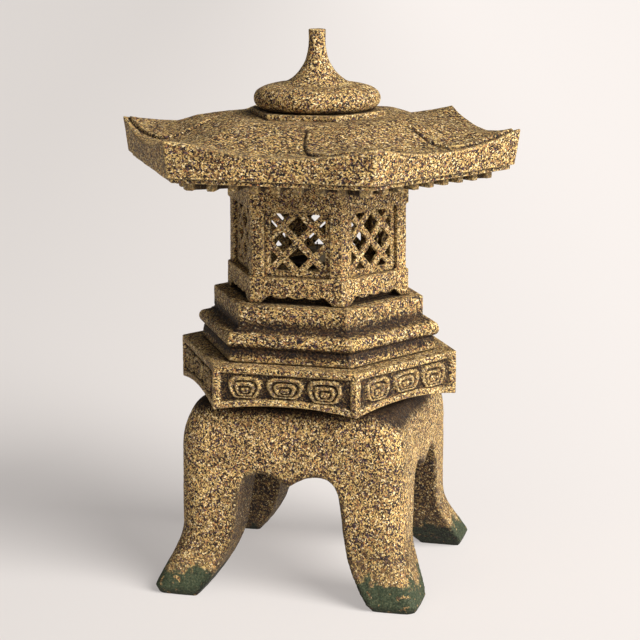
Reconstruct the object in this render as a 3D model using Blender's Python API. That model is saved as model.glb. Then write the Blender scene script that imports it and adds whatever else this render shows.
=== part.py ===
"""Small garden lantern of carved granite, a stack of stones held by their own weight.

From the ground up: a four-legged base, a hexagonal slab with sunk panels, a stepped platform, a hollow
firebox with six lattice panels, a hexagonal roof with upswept corners and carved rafters, and a finial.
A candle stands on an iron dish inside the firebox.

Frame: origin on the ground under the middle, +Z up, a hexagon corner on +X, a hexagon face towards -Y.
All dimensions below are millimetres. A hexagon is given by its corner radius.
"""
import math

import bpy
import bmesh

MM = 0.001
COS30 = math.cos(math.radians(30))

# ---- Driving dimensions -----------------------------------------------------------------------------
SEAT_GAP = 0.3                  # stone resting on stone

BASE_TOP = 234.7
BASE_HALF = 140.5               # half width of the square body
BASE_CORNER = 31.0              # plan radius of its corners
SHOULDER_INSET = 22.0           # rounding between sides and top
SHOULDER_HEIGHT = 50.0
TOE_REACH = 25.0                # how far the toes run out past the body
TOE_EDGE_Z = 9.4                # height of the toe's widest line
TOE_CHAMFER = 6.5
TOE_CORNER = 12.0
FLARE_START_Z = 80.0            # the legs start to flare below this height

ARCH_SPRING_Z = 128.0
ARCH_SPRING_X = 63.0
LOBE_TOP = (36.0, 154.5)        # x and z of a lobe's highest point
CUSP_Z = 141.5
LEG_DRAFT = 0.129               # the arch widens by this much per mm downwards
LEG_INNER_FLARE = 31.0

SLAB_TOP = 289.2
SLAB_R = 177.2
SLAB_BED_R = 142.0              # flat bed that rests on the base
SLAB_ARC = 8.8                  # rise of the bottom edge at mid face
PANEL_TOP_BAR = 8.0
PANEL_SIDE_BAR = 7.6
PANEL_BOTTOM_BAR = 7.5
PANEL_DEPTH = 3.5
MOTIF_PITCH = 49.0
MOTIF_SIZE = (44.0, 27.0)       # width and height of one half-moon boss
MOTIF_HEIGHT = 2.4

NECK_R = 150.6
NECK_TOP = 307.1
TORUS_R = 146.5
TORUS_HALF = 8.6                # half height of the torus moulding
TIER_FILLET_R = 139.0
TIER_FILLET_TOP = 328.5
TIER_R = 134.5
TIER_TOP = 356.4

SKIRT_R = 116.2
SKIRT_TOP = 389.6
POST_R = 112.5
POST_TOP = 470.3
HEAD_R = 115.4
FIREBOX_TOP = 505.0
CHAMBER_R = 94.0
SCALLOP_DEPTH = 11.0            # how far the scallops cut in under the skirt
SCALLOP_FOOT = 12.0
SCALLOP_SWEEP = 14.0            # length of the S curve beside a foot
SCALLOP_RISE = 9.0

BAY_WIDTH = 82.0                # opening between two posts
BAY_BACK = 86.6                 # apothem of the lip the panel stands against
LIP = 4.5
LATTICE_CLEARANCE = 0.3
LATTICE_THICKNESS = 5.0
WINDOW_HALF = 34.2
WINDOW_RISE = 2.0               # the window sits this far above the panel's middle
BAR_SPACING = 19.0              # half the diagonal pitch of the bars
HOLE_HALF_DIAGONAL = 13.0

ROOF_R = 251.5
ROOF_BOTTOM_R = 245.75
ROOF_BED_R = 240.0              # thin step under the fascia
CORNER_TIP_Z = 565.75
EAVE_MID_Z = 550.5
FASCIA_BOTTOM_Z = 522.25
SOFFIT_Z = 516.5
ROOF_SEAT_R = 122.0
CROWN_Z = 575.9
CROWN_R = 112.0                 # the dome is flat inside this radius
DOME_FOOT_R = 232.0             # and starts to rise at this one
VALLEY_R = 175.0                # the corners start to lift outside this radius
CORNER_LIFT_POWER = 1.45
LOCATING_R = 89.5               # boss that drops into the firebox
LOCATING_DEPTH = 6.0

RAFTER_WIDTH = 9.4
RAFTER_PITCH = 26.0
RAFTERS_EACH_SIDE = 4
RAFTER_BOTTOM_Z = 505.4
RAFTER_STAGGER = 0.2
RAFTER_END = 189.0              # apothem of the rafter ends

SEAT_R = 85.4
SEAT_TOP = 582.5
STEM_TOP = 679.5
BULB_R = 77.6
BELLY_Z = 596.5
SHOULDER_POINT = (44.0, 613.8)  # crease between bulb and neck
THROAT_POINT = (16.2, 638.5)

TENON_R = 30.0
TENON_LENGTH = 14.0
SOCKET_CLEARANCE = 0.6
FINIAL_TENON_R = 22.0
FINIAL_TENON_LENGTH = 28.0

DISH_R = 36.0
DISH_RIM = 3.0
CANDLE_R = 12.0
CANDLE_HEIGHT = 18.0
WICK_R = 0.9
WICK_HEIGHT = 7.0
WICK_HOLE_R = 1.3
WICK_DEPTH = 6.0

FACE_COLUMNS = 10               # columns across one roof or slab face
ROUND_SEGMENTS = 40


# ---- Materials --------------------------------------------------------------------------------------
def material(name, colour, roughness, metallic=0.0):
    """A plain Principled material."""
    made = bpy.data.materials.new(name)
    made.use_nodes = True
    shader = made.node_tree.nodes["Principled BSDF"]
    shader.inputs["Base Color"].default_value = (*colour, 1.0)
    shader.inputs["Roughness"].default_value = roughness
    shader.inputs["Metallic"].default_value = metallic
    return made


# ---- Mesh helpers -----------------------------------------------------------------------------------
def new_object(name, vertices, faces, finish):
    """An object from millimetre vertices."""
    mesh = bpy.data.meshes.new(name)
    mesh.from_pydata([[c * MM for c in vertex] for vertex in vertices], [], faces)
    mesh.validate()
    made = bpy.data.objects.new(name, mesh)
    bpy.context.scene.collection.objects.link(made)
    if finish:
        mesh.materials.append(finish)
    return made


def loft(rings):
    """Vertices and faces of a closed solid through rings that run from its start to its end cap."""
    count = len(rings[0])
    vertices = [point for ring in rings for point in ring]
    faces = [tuple(reversed(range(count)))]
    for level in range(len(rings) - 1):
        low = level * count
        for k in range(count):
            after = (k + 1) % count
            faces.append((low + k, low + after, low + count + after, low + count + k))
    last = (len(rings) - 1) * count
    faces.append(tuple(range(last, last + count)))
    return vertices, faces


def circle(radius, z, segments=ROUND_SEGMENTS):
    """Points of a circle, counter-clockwise."""
    turn = 2 * math.pi / segments
    return [(radius * math.cos(k * turn), radius * math.sin(k * turn), z) for k in range(segments)]


def turned(profile, segments=ROUND_SEGMENTS):
    """A turned solid: the profile is (radius, z) pairs from the start cap to the end cap."""
    return loft([circle(radius, z, segments) for radius, z in profile])


def hexagon(radius, z, columns=1):
    """Points of a hexagon with columns points per side. z is a height or a function of t, -1 to 1."""
    height = z if callable(z) else lambda t: z
    points = []
    for side in range(6):
        first, second = math.radians(60 * side), math.radians(60 * side + 60)
        for column in range(columns):
            s = column / columns
            x = radius * ((1 - s) * math.cos(first) + s * math.cos(second))
            y = radius * ((1 - s) * math.sin(first) + s * math.sin(second))
            points.append((x, y, height(2 * s - 1)))
    return points


def prism_on_face(outline, near, far, side):
    """A prism through one hexagon face: outline is (across, z), near and far are apothems."""
    angle = math.radians(60 * side + 30)
    out, along = (math.cos(angle), math.sin(angle)), (-math.sin(angle), math.cos(angle))

    def ring(apothem):
        return [(out[0] * apothem + along[0] * across, out[1] * apothem + along[1] * across, z)
                for across, z in outline]

    return loft([ring(near), ring(far)])


def gather(name, solids, finish=None):
    """One object from several separate solids."""
    vertices, faces = [], []
    for solid_vertices, solid_faces in solids:
        start = len(vertices)
        vertices += solid_vertices
        faces += [tuple(start + index for index in face) for face in solid_faces]
    return new_object(name, vertices, faces, finish)


def as_cutter(tool):
    tool.hide_render = True
    tool.display_type = "WIRE"
    return tool


def boolean(target, tool, operation):
    """Cuts or joins target with a hidden tool object."""
    change = target.modifiers.new(tool.name, "BOOLEAN")
    change.operation = operation
    change.solver = "EXACT"
    change.object = as_cutter(tool)


def bezier(start, handle_a, handle_b, end, steps):
    """Points of a cubic curve without its first point."""
    points = []
    for step in range(1, steps + 1):
        t = step / steps
        weights = ((1 - t) ** 3, 3 * t * (1 - t) ** 2, 3 * t * t * (1 - t), t ** 3)
        points.append(tuple(sum(w * p[axis] for w, p in zip(weights, (start, handle_a, handle_b, end)))
                            for axis in (0, 1)))
    return points


def smoothstep(s):
    s = min(1.0, max(0.0, s))
    return s * s * (3 - 2 * s)


def add_tenon(stone, z):
    """A round tenon under a stone whose bed is at height z."""
    solid = turned([(TENON_R, z - TENON_LENGTH), (TENON_R, z + 5)])
    boolean(stone, gather(stone.name + "_tenon", [solid]), "UNION")


def add_socket(stone, z):
    """The socket in a stone's top bed for the tenon above."""
    radius = TENON_R + SOCKET_CLEARANCE
    solid = turned([(radius, z - TENON_LENGTH - 1), (radius, z + 5)])
    boolean(stone, gather(stone.name + "_socket", [solid]), "DIFFERENCE")


# ---- Base -------------------------------------------------------------------------------------------
def rounded_square(half, radius, z, arc_steps=4):
    """Points of a square with rounded corners, counter-clockwise."""
    points = []
    for corner in range(4):
        start = math.radians(90 * corner)
        centre_x = (half - radius) * (1 if corner in (0, 3) else -1)
        centre_y = (half - radius) * (1 if corner in (0, 1) else -1)
        for step in range(arc_steps + 1):
            angle = start + math.radians(90) * step / arc_steps
            points.append((centre_x + radius * math.cos(angle), centre_y + radius * math.sin(angle), z))
    return points


def toe_flare(z):
    """How far the leg's outer face stands out past the body at height z."""
    s = max(0.0, (FLARE_START_Z - z) / (FLARE_START_Z - TOE_EDGE_Z))
    return TOE_REACH * s * s * (1.9 - 0.9 * s)


def arch_half_width(z):
    """Half the gap between two legs at height z."""
    s = max(0.0, (FLARE_START_Z - z) / FLARE_START_Z)
    return ARCH_SPRING_X + LEG_DRAFT * (ARCH_SPRING_Z - z) + LEG_INNER_FLARE * s * s


def arch_outline():
    """Outline of the two-lobed arch in (across, z), from the right leg over the cusp to the left leg."""
    below_ground = -10.0
    right = [(arch_half_width(0), below_ground)]
    right += [(arch_half_width(z), z) for z in (0.0, 9.0, 19.0, 32.0, 48.0, 70.0, 100.0)]
    spring = (ARCH_SPRING_X, ARCH_SPRING_Z)
    right.append(spring)
    right += bezier(spring, (60.0, 146.0), (52.0, LOBE_TOP[1]), LOBE_TOP, 5)
    right += bezier(LOBE_TOP, (22.0, LOBE_TOP[1]), (12.0, 148.5), (0.0, CUSP_Z), 4)
    left = [(-across, z) for across, z in reversed(right[:-1])]
    return right + left


def base_stone(granite):
    rings = [rounded_square(BASE_HALF + TOE_REACH - TOE_CHAMFER, TOE_CORNER, 0.0)]
    for z in (TOE_EDGE_Z, 20.0, 32.0, 46.0, 60.0, FLARE_START_Z):
        fade = min(1.0, (z - TOE_EDGE_Z) / (FLARE_START_Z - TOE_EDGE_Z))
        radius = TOE_CORNER + (BASE_CORNER - TOE_CORNER) * fade
        rings.append(rounded_square(BASE_HALF + toe_flare(z), radius, z))
    for degrees in (0, 30, 60, 85):
        angle = math.radians(degrees)
        inset = SHOULDER_INSET * (1 - math.cos(angle))
        z = BASE_TOP - SHOULDER_HEIGHT + SHOULDER_HEIGHT * math.sin(angle) / math.sin(math.radians(85))
        rings.append(rounded_square(BASE_HALF - inset, BASE_CORNER - inset * 0.5, z))
    stone = new_object("base_stone", *loft(rings), granite)

    reach = BASE_HALF + TOE_REACH + 20
    outline = arch_outline()
    along_y = [[(x, side * reach, z) for x, z in outline] for side in (1, -1)]
    along_x = [[(side * reach, x, z) for x, z in outline] for side in (-1, 1)]
    boolean(stone, gather("arch_front_back", [loft(along_y)]), "DIFFERENCE")
    boolean(stone, gather("arch_left_right", [loft(along_x)]), "DIFFERENCE")
    add_socket(stone, BASE_TOP)
    return stone


# ---- Panel slab -------------------------------------------------------------------------------------
def half_moon(width, height, centre, middle_z):
    """Outline of a half-moon boss: domed top, sides drawn in to a narrow foot."""
    top = middle_z + height / 2
    foot = middle_z - height / 2
    right_shoulder = (width / 2, middle_z + height * 0.18)
    right_foot = (width * 0.25, foot)
    points = [right_foot]
    points += bezier(right_foot, (width * 0.4, foot), (width / 2, middle_z - height * 0.15), right_shoulder, 3)
    points += bezier(right_shoulder, (width / 2, top), (width * 0.3, top), (0.0, top), 3)
    left = [(-across, z) for across, z in reversed(points[:-1])]
    return [(centre + across, z) for across, z in points + left]


def panel_slab(granite):
    bed = BASE_TOP + SEAT_GAP

    def arched(t):
        return bed + SLAB_ARC * (1 - t * t)

    rings = [
        hexagon(SLAB_BED_R, bed, FACE_COLUMNS),
        hexagon(SLAB_R, arched, FACE_COLUMNS),
        hexagon(SLAB_R, SLAB_TOP, FACE_COLUMNS),
    ]
    slab = new_object("panel_slab", *loft(rings), granite)

    apothem = SLAB_R * COS30
    half = SLAB_R / 2 - PANEL_SIDE_BAR
    steps = 8
    outline = [(half, SLAB_TOP - PANEL_TOP_BAR), (-half, SLAB_TOP - PANEL_TOP_BAR)]
    for step in range(steps + 1):
        across = -half + 2 * half * step / steps
        outline.append((across, arched(across / (SLAB_R / 2)) + PANEL_BOTTOM_BAR))
    sunk = [prism_on_face(outline, apothem - PANEL_DEPTH, apothem + 5, side) for side in range(6)]
    boolean(slab, gather("sunk_panels", sunk), "DIFFERENCE")

    middle_z = (arched(0) + PANEL_BOTTOM_BAR + SLAB_TOP - PANEL_TOP_BAR) / 2
    bosses = []
    for side in range(6):
        for place in (-1, 0, 1):
            outline = half_moon(*MOTIF_SIZE, place * MOTIF_PITCH, middle_z - abs(place) * 1.5)
            near = apothem - PANEL_DEPTH
            bosses.append(prism_on_face(outline, near - 3, near + MOTIF_HEIGHT, side))
    boolean(slab, gather("half_moons", bosses), "UNION")
    add_tenon(slab, bed)
    add_socket(slab, SLAB_TOP)
    return slab


# ---- Stepped platform -------------------------------------------------------------------------------
def stepped_platform(granite):
    bed = SLAB_TOP + SEAT_GAP
    torus_z = NECK_TOP + TORUS_HALF
    profile = [(NECK_R, bed), (NECK_R, NECK_TOP - 1)]
    for degrees in (-90, -60, -30, 0, 30, 60, 90):
        angle = math.radians(degrees)
        swell = TORUS_HALF / COS30 * math.cos(angle)
        profile.append((TORUS_R + swell, torus_z + TORUS_HALF * math.sin(angle)))
    profile += [
        (TIER_FILLET_R, torus_z + TORUS_HALF),
        (TIER_FILLET_R, TIER_FILLET_TOP),
        (TIER_R, TIER_FILLET_TOP),
        (TIER_R, TIER_TOP - 3),
        (TIER_R - 3, TIER_TOP),
    ]
    platform = new_object("stepped_platform", *loft([hexagon(r, z) for r, z in profile]), granite)
    add_tenon(platform, bed)
    add_socket(platform, TIER_TOP)
    return platform


# ---- Firebox ----------------------------------------------------------------------------------------
def scallop_outline(bed):
    """Outline of the cut under one face of the skirt, with three small lobes between two S curves."""
    face_half = SKIRT_R / 2
    foot = face_half - SCALLOP_FOOT
    crest = foot - SCALLOP_SWEEP
    top = bed + SCALLOP_RISE
    right = [(foot, bed - 5), (foot, bed)]
    right += bezier((foot, bed), (foot - 4, bed + 2), (crest + 6, top + 0.5), (crest, top), 4)
    lobe_edges = (crest, crest / 3, 0.0)
    for outer, inner in zip(lobe_edges, lobe_edges[1:]):
        middle = (outer + inner) / 2 if inner else 0.0
        sag = 2.4
        right.append((middle + (outer - middle) * 0.5, top - sag * 0.8))
        right.append((middle, top - sag))
        if inner:
            right.append((inner + (middle - inner) * 0.3, top - sag * 0.6))
            right.append((inner, top - 0.6))
    left = [(-across, z) for across, z in reversed(right) if across > 0.01]
    return right + left


def firebox_frame(granite):
    bed = TIER_TOP + SEAT_GAP
    profile = [
        (SKIRT_R, bed), (SKIRT_R, SKIRT_TOP - 0.6),
        (POST_R, SKIRT_TOP - 0.3), (POST_R, POST_TOP),
        (HEAD_R, POST_TOP + 0.3), (HEAD_R, FIREBOX_TOP),
    ]
    frame = new_object("firebox_frame", *loft([hexagon(r, z) for r, z in profile]), granite)

    floor = SKIRT_TOP - 0.3
    chamber = loft([hexagon(CHAMBER_R, floor), hexagon(CHAMBER_R, FIREBOX_TOP + 5)])
    boolean(frame, gather("chamber", [chamber]), "DIFFERENCE")

    half = BAY_WIDTH / 2
    bay = [(half, floor), (half, POST_TOP), (-half, POST_TOP), (-half, floor)]
    bays = [prism_on_face(bay, BAY_BACK, HEAD_R, side) for side in range(6)]
    boolean(frame, gather("bays", bays), "DIFFERENCE")

    inner = half - LIP
    window = [(inner, floor), (inner, POST_TOP - LIP), (-inner, POST_TOP - LIP), (-inner, floor)]
    windows = [prism_on_face(window, CHAMBER_R * COS30 - 5, BAY_BACK + 2, side) for side in range(6)]
    boolean(frame, gather("inner_windows", windows), "DIFFERENCE")

    apothem = SKIRT_R * COS30
    scallops = [prism_on_face(scallop_outline(bed), apothem - SCALLOP_DEPTH, apothem + 5, side)
                for side in range(6)]
    boolean(frame, gather("scallops", scallops), "DIFFERENCE")
    add_tenon(frame, bed)
    return frame


def lattice_holes():
    """Closed outlines of the window's holes: four diamonds, and eight triangles along the edges."""
    holes = []
    d, w = HOLE_HALF_DIAGONAL, WINDOW_HALF
    for x, z in ((BAR_SPACING, 0), (0, BAR_SPACING), (-BAR_SPACING, 0), (0, -BAR_SPACING)):
        holes.append([(x + d, z), (x, z + d), (x - d, z), (x, z - d)])
    tip = w - (2 * BAR_SPACING - d)
    for turn in range(4):
        c, s = (1, 0, -1, 0)[turn], (0, 1, 0, -1)[turn]
        for across in (-BAR_SPACING, BAR_SPACING):
            corners = [(w, across - tip), (w, across + tip), (w - tip, across)]
            holes.append([(x * c - z * s, x * s + z * c) for x, z in corners])
    return [[(x, z + WINDOW_RISE) for x, z in hole] for hole in holes]


def lattice_mesh(granite):
    """The shared lattice panel: its front face lies in the plane y = 0, and it faces -Y."""
    floor = SKIRT_TOP - 0.3
    half_width = BAY_WIDTH / 2 - LATTICE_CLEARANCE
    half_height = (POST_TOP - floor) / 2 - LATTICE_CLEARANCE
    outer = [(half_width, -half_height), (half_width, half_height),
             (-half_width, half_height), (-half_width, -half_height)]
    shape = bmesh.new()
    edges = []
    for loop in [outer] + lattice_holes():
        corners = [shape.verts.new((x * MM, 0.0, z * MM)) for x, z in loop]
        edges += [shape.edges.new((a, b)) for a, b in zip(corners, corners[1:] + corners[:1])]
    bmesh.ops.triangle_fill(shape, use_beauty=True, use_dissolve=False, edges=edges)
    front = list(shape.faces)
    back = bmesh.ops.extrude_face_region(shape, geom=front)
    moved = [item for item in back["geom"] if isinstance(item, bmesh.types.BMVert)]
    bmesh.ops.translate(shape, vec=(0.0, LATTICE_THICKNESS * MM, 0.0), verts=moved)
    bmesh.ops.recalc_face_normals(shape, faces=shape.faces)
    mesh = bpy.data.meshes.new("lattice")
    shape.to_mesh(mesh)
    shape.free()
    mesh.materials.append(granite)
    return mesh


def lattice_panels(granite):
    """Six panels, each against the lips of its bay. The one towards -Y is the service panel."""
    mesh = lattice_mesh(granite)
    names = ["lattice_panel_front"] + [f"lattice_panel_{number}" for number in range(2, 7)]
    front = (BAY_BACK + LATTICE_THICKNESS + SEAT_GAP) * MM
    middle = (SKIRT_TOP - 0.3 + POST_TOP) / 2 * MM
    for index, name in enumerate(names):
        turn = math.radians(60 * index)
        panel = bpy.data.objects.new(name, mesh)
        panel.rotation_euler = (0.0, 0.0, turn)
        panel.location = (front * math.sin(turn), -front * math.cos(turn), middle)
        bpy.context.scene.collection.objects.link(panel)


# ---- Roof -------------------------------------------------------------------------------------------
def roof_height(radius, t):
    """Height of the roof's top at hexagon radius and position t along the face (-1 to 1)."""
    dome = EAVE_MID_Z + (CROWN_Z - EAVE_MID_Z) * smoothstep((DOME_FOOT_R - radius) / (DOME_FOOT_R - CROWN_R))
    outward = max(0.0, (radius - VALLEY_R) / (ROOF_R - VALLEY_R))
    return dome + (CORNER_TIP_Z - EAVE_MID_Z) * outward ** CORNER_LIFT_POWER * t * t


def rafters(side):
    """The blocks under one face's soffit. They run in as far as the neck and cross the neighbours' blocks,
    which are cut to a slightly different depth."""
    half = RAFTER_WIDTH / 2
    start = ROOF_SEAT_R * COS30 - 2
    bottom = RAFTER_BOTTOM_Z - RAFTER_STAGGER * (side % 2)
    top = SOFFIT_Z + 3 - RAFTER_STAGGER * (side % 2)
    blocks = []
    for place in range(-RAFTERS_EACH_SIDE, RAFTERS_EACH_SIDE + 1):
        across = place * RAFTER_PITCH
        outline = [(across + half, bottom), (across + half, top), (across - half, top), (across - half, bottom)]
        blocks.append(prism_on_face(outline, start, RAFTER_END, side))
    return blocks


def roof(granite):
    seat = FIREBOX_TOP + SEAT_GAP
    rings = [
        hexagon(LOCATING_R - 1, seat - LOCATING_DEPTH, FACE_COLUMNS),
        hexagon(LOCATING_R, seat, FACE_COLUMNS),
        hexagon(ROOF_SEAT_R, seat, FACE_COLUMNS),
        hexagon(ROOF_SEAT_R, SOFFIT_Z, FACE_COLUMNS),
        hexagon(ROOF_BED_R, SOFFIT_Z, FACE_COLUMNS),
        hexagon(ROOF_BED_R, FASCIA_BOTTOM_Z, FACE_COLUMNS),
        hexagon(ROOF_BOTTOM_R, FASCIA_BOTTOM_Z, FACE_COLUMNS),
    ]
    for radius in (ROOF_R, 238.0, 225.0, 211.0, 197.0, 183.0, 169.0, 155.0, 141.0, 127.0, CROWN_R):
        rings.append(hexagon(radius, lambda t, radius=radius: roof_height(radius, t), FACE_COLUMNS))
    rings += [
        hexagon(SEAT_R, CROWN_Z, FACE_COLUMNS),
        hexagon(SEAT_R, SEAT_TOP - 0.8, FACE_COLUMNS),
        hexagon(SEAT_R - 0.8, SEAT_TOP, FACE_COLUMNS),
    ]
    stone = new_object("roof", *loft(rings), granite)
    for side in range(6):
        boolean(stone, gather(f"rafter_blocks_{side}", rafters(side)), "UNION")
    radius = FINIAL_TENON_R + SOCKET_CLEARANCE
    socket = turned([(radius, SEAT_TOP - FINIAL_TENON_LENGTH - 1), (radius, SEAT_TOP + 5)])
    boolean(stone, gather("finial_socket", [socket]), "DIFFERENCE")
    return stone


# ---- Finial -----------------------------------------------------------------------------------------
def finial(granite):
    bed = SEAT_TOP + SEAT_GAP
    belly = (BULB_R, BELLY_Z)
    tip = (10.3, STEM_TOP - 0.8)
    profile = [(FINIAL_TENON_R, bed - FINIAL_TENON_LENGTH), (FINIAL_TENON_R, bed), (60.0, bed)]
    profile += bezier((60.0, bed), (72.0, bed), (BULB_R, BELLY_Z - 7), belly, 5)
    profile += bezier(belly, (BULB_R, BELLY_Z + 10), (66.0, 612.8), SHOULDER_POINT, 5)
    profile += bezier(SHOULDER_POINT, (31.0, 618.0), (22.5, 627.0), THROAT_POINT, 6)
    profile += bezier(THROAT_POINT, (12.2, 646.5), (9.4, 657.0), tip, 4)
    profile.append((9.6, STEM_TOP))
    stone = new_object("finial", *turned(profile), granite)
    stone.data.shade_smooth()
    stone.data.set_sharp_from_angle(angle=math.radians(40))
    return stone


# ---- Candle and dish --------------------------------------------------------------------------------
def candle_set(iron, wax, cotton):
    floor = SKIRT_TOP - 0.3 + SEAT_GAP
    plate = floor + 2.2
    dish = turned([(DISH_R - 6, floor), (DISH_R, plate + DISH_RIM), (DISH_R - 1.6, plate + DISH_RIM),
                   (DISH_R - 5, plate)], 32)
    new_object("candle_dish", *dish, iron)
    foot = plate + SEAT_GAP
    top = foot + CANDLE_HEIGHT
    stick = turned([(CANDLE_R, foot), (CANDLE_R, top - 1), (CANDLE_R - 1, top), (WICK_HOLE_R + 2, top - 0.8),
                    (WICK_HOLE_R, top - 1), (WICK_HOLE_R, top - WICK_DEPTH)], 24)
    new_object("candle", *stick, wax)
    wick = turned([(WICK_R, top - WICK_DEPTH + SEAT_GAP), (WICK_R, top + WICK_HEIGHT)], 8)
    new_object("wick", *wick, cotton)


# ---- The lantern ------------------------------------------------------------------------------------
def main():
    for old in list(bpy.data.objects):
        bpy.data.objects.remove(old, do_unlink=True)
    granite = material("granite", (0.36, 0.27, 0.14), 0.82)
    granite_dark = material("granite_weathered", (0.26, 0.20, 0.11), 0.88)
    iron = material("iron", (0.05, 0.045, 0.04), 0.6, 0.8)
    wax = material("wax", (0.62, 0.52, 0.33), 0.5)
    cotton = material("cotton", (0.08, 0.07, 0.06), 0.9)

    base_stone(granite)
    panel_slab(granite)
    stepped_platform(granite_dark)
    firebox_frame(granite)
    lattice_panels(granite)
    roof(granite)
    finial(granite)
    candle_set(iron, wax, cotton)
    bpy.context.view_layer.update()


main()
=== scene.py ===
"""Looks of the stone lantern: carved surfaces, weathered granite, floor, light and camera."""
import itertools
import math

import bpy
import numpy as np
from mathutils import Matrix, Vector


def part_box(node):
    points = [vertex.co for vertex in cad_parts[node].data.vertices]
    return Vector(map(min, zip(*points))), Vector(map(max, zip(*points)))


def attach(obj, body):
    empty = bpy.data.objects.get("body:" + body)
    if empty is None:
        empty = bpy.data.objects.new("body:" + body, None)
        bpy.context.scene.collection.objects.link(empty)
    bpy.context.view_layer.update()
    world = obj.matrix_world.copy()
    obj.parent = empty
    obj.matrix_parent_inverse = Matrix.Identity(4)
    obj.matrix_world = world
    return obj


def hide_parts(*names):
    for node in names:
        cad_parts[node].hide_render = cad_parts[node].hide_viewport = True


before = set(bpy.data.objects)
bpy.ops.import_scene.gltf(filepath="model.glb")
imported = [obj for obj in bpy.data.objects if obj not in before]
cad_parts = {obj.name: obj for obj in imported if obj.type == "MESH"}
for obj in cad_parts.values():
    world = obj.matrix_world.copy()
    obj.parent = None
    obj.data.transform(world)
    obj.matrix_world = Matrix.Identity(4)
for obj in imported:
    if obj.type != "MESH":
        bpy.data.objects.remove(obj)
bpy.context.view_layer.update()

MM = 0.001
COS30 = math.cos(math.radians(30))


def corner_mm(node, top=True):
    """Highest (or lowest) corner of a CAD node in millimetres."""
    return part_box(node)[1 if top else 0] * 1000


# ---- Sizes, millimetres, taken from the frame where a node gives them ----
SEAT_GAP = 0.3                  # between two stones in their seat
PLATFORM_TENON = 13.7           # how far the platform's tenon reaches below the slab's top
SLAB_BOTTOM = corner_mm("base_stone").z + SEAT_GAP
SLAB_TOP = corner_mm("stepped_platform", False).z + PLATFORM_TENON
SLAB_R = corner_mm("panel_slab").x
SLAB_ARC = 8.8                  # rise of its bottom edge at the middle of a face
ROOF_R = corner_mm("roof").x
TIER_TOP = corner_mm("stepped_platform").z
FIREBOX_TOP = corner_mm("firebox_frame").z
BASE_TOP = corner_mm("base_stone").z
STEM_TOP = corner_mm("finial").z
SEAT_TOP = corner_mm("roof").z


# ---- Numeric helpers ----
def smoothstep(s):
    s = np.clip(s, 0.0, 1.0)
    return s * s * (3 - 2 * s)


def hash_cells(cells, seed):
    """A steady pseudo-random number from -1 to 1 for each integer cell."""
    x, y, z = (cells[:, axis].astype(np.uint64) for axis in range(3))
    mixed = x * np.uint64(73856093) ^ y * np.uint64(19349663) ^ z * np.uint64(83492791)
    mixed ^= np.uint64(seed * 2654435761 % (1 << 32))
    mixed = (mixed ^ (mixed >> np.uint64(13))) * np.uint64(1274126177)
    mixed = (mixed ^ (mixed >> np.uint64(16))) & np.uint64(0xFFFFFF)
    return mixed.astype(float) / 0x7FFFFF - 1.0


def value_noise(points, size, seed):
    """Smooth noise from -1 to 1 with features of the given size."""
    scaled = points / size + 4096.0
    cells = np.floor(scaled).astype(np.int64)
    part = scaled - cells
    part = part * part * (3 - 2 * part)
    total = np.zeros(len(points))
    for corner in itertools.product((0, 1), repeat=3):
        step = np.array(corner)
        weight = np.prod(np.where(step, part, 1 - part), axis=1)
        total += weight * hash_cells(cells + step, seed)
    return total


# ---- Mesh helpers ----
def add_object(name, data):
    made = bpy.data.objects.new(name, data)
    bpy.context.scene.collection.objects.link(made)
    return made


def mesh_object(name, vertices, faces, shade_and_grime=None):
    """A smooth-shaded object from millimetre vertices, with an optional value per vertex of painted shade and
    grime.
    """
    mesh = bpy.data.meshes.new(name)
    mesh.from_pydata((np.asarray(vertices) * MM).tolist(), [], faces)
    mesh.validate()
    mesh.shade_smooth()
    if shade_and_grime is not None:
        mesh.attributes.new("shade_and_grime", "FLOAT", "POINT").data.foreach_set("value", np.asarray(shade_and_grime, np.float32))
    return add_object(name, mesh)


def loft(rings, shade_and_grime=None):
    """Vertices, faces and painted shade and grime of a closed solid through rings, shaped (levels, count, 3).
    """
    rings = np.asarray(rings, float)
    levels, count, _ = rings.shape
    index = np.arange(levels * count).reshape(levels, count)
    after = np.roll(index, -1, axis=1)
    quads = np.stack([index[:-1], after[:-1], after[1:], index[1:]], axis=-1).reshape(-1, 4).tolist()
    start, end = levels * count, levels * count + 1
    fans = [(start, b, a) for a, b in zip(index[0].tolist(), after[0].tolist())]
    fans += [(end, a, b) for a, b in zip(index[-1].tolist(), after[-1].tolist())]
    vertices = np.vstack([rings.reshape(-1, 3), rings[0].mean(axis=0), rings[-1].mean(axis=0)])
    if shade_and_grime is None:
        shade = np.zeros(len(vertices))
    else:
        shade = np.append(np.asarray(shade_and_grime, float).reshape(-1), [0.0, 0.0])
    return vertices, quads + fans, shade


def hexagon_points(radius, columns):
    """Plan points (count, 2) of a hexagon, with side number and t from -1 to 1 for each point."""
    s = np.tile(np.arange(columns) / columns, 6)
    side = np.repeat(np.arange(6), columns)
    first, second = np.radians(60 * side), np.radians(60 * side + 60)
    x = radius * ((1 - s) * np.cos(first) + s * np.cos(second))
    y = radius * ((1 - s) * np.sin(first) + s * np.sin(second))
    return np.stack([x, y], axis=1), side, 2 * s - 1


def hexagon(radius, z, columns):
    plan, _, _ = hexagon_points(radius, columns)
    return np.column_stack([plan, np.full(len(plan), float(z))])


def stack_on(plan):
    """Lists of rings and of the painted shade and grime on them, and a function that adds a scaled copy of a
    plan to both.
    """
    rings, shade_and_grime = [], []

    def add(scale, z, shade_and_soil=0.0, shape=plan):
        rings.append(np.column_stack([shape * scale, np.broadcast_to(z, len(plan))]))
        shade_and_grime.append(np.broadcast_to(shade_and_soil, len(plan)))

    return rings, shade_and_grime, add


def circle(radius, z, segments):
    angle = np.arange(segments) * 2 * math.pi / segments
    return np.column_stack([radius * np.cos(angle), radius * np.sin(angle), np.full(segments, float(z))])


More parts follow.
